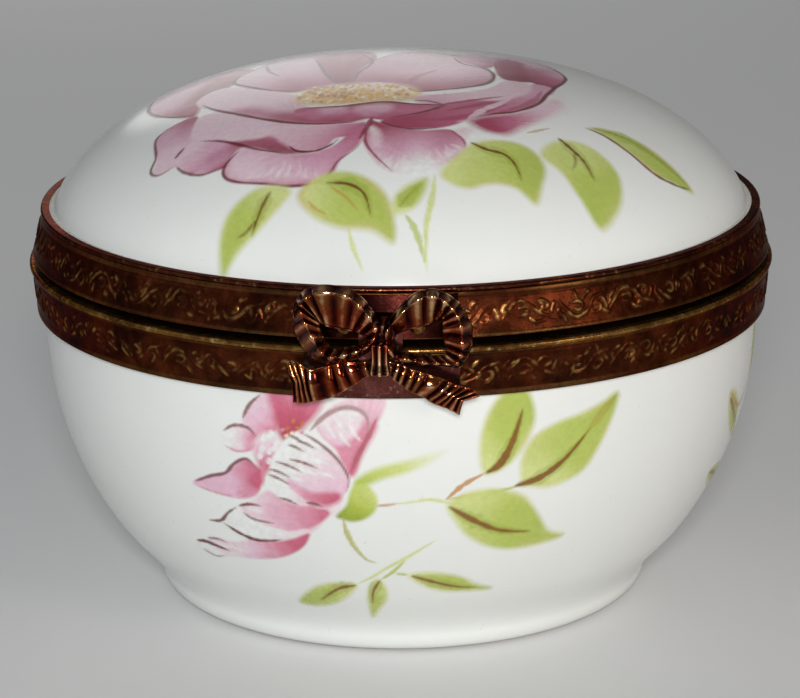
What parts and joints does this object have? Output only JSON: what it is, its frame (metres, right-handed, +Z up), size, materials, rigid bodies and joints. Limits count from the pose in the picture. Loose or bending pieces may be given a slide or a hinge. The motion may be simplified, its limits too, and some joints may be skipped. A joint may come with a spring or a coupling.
{
  "type": "porcelain trinket box",
  "caption": "Round footed porcelain trinket box with a hinged domed lid, painted pink flowers, engraved brass bands and a sprung ribbon-bow clasp.",
  "frame": {"origin": "centre of the foot's underside, on the axis of the bowl", "axes": "+Z up, -Y towards the bow clasp, +Y towards the hinge, X along the hinge"},
  "size_m": [0.0786, 0.085, 0.0558],
  "materials": {
    "porcelain": "soft-gloss white glaze with enamel flowers and leaves",
    "cement": "matte off-white bedding cement",
    "patinated_brass": "engraved scrolls, dark copper-brown patina, worn gilt edges",
    "gilt_brass": "worn gilt over brown patina"
  },
  "bodies": {
    "base": {"base_bowl": "porcelain", "base_cement": "cement", "base_band": "patinated_brass", "base_rim_wire": "gilt_brass", "base_bezel": "gilt_brass", "catch_plate": "gilt_brass", "catch_nib": "gilt_brass", "hinge_leaf_lower": "patinated_brass", "hinge_pin": "gilt_brass"},
    "lid": {"lid_dome": "porcelain", "lid_cement": "cement", "lid_band": "patinated_brass", "lid_rim_wire": "gilt_brass", "lid_bezel": "gilt_brass", "hinge_leaf_upper": "patinated_brass", "clasp_plate": "gilt_brass", "clasp_rivets": "gilt_brass"},
    "clasp": {"clasp_tongue": "patinated_brass", "bow_knot": "gilt_brass", "bow_loop_left": "gilt_brass", "bow_loop_right": "gilt_brass", "bow_tail_left": "gilt_brass", "bow_tail_right": "gilt_brass"}
  },
  "joints": [
    {"name": "lid_hinge", "type": "hinge", "parent": "base", "child": "lid", "pos_m": [0, 0.041, 0.0366], "axis": [-1, 0, 0], "range_deg": [0, 105]},
    {"name": "clasp_flex", "type": "hinge", "parent": "lid", "child": "clasp", "pos_m": [0, -0.03975, 0.03875], "axis": [-1, 0, 0], "range_deg": [0, 4], "stiffness_Nm_per_rad": 0.02}
  ]
}
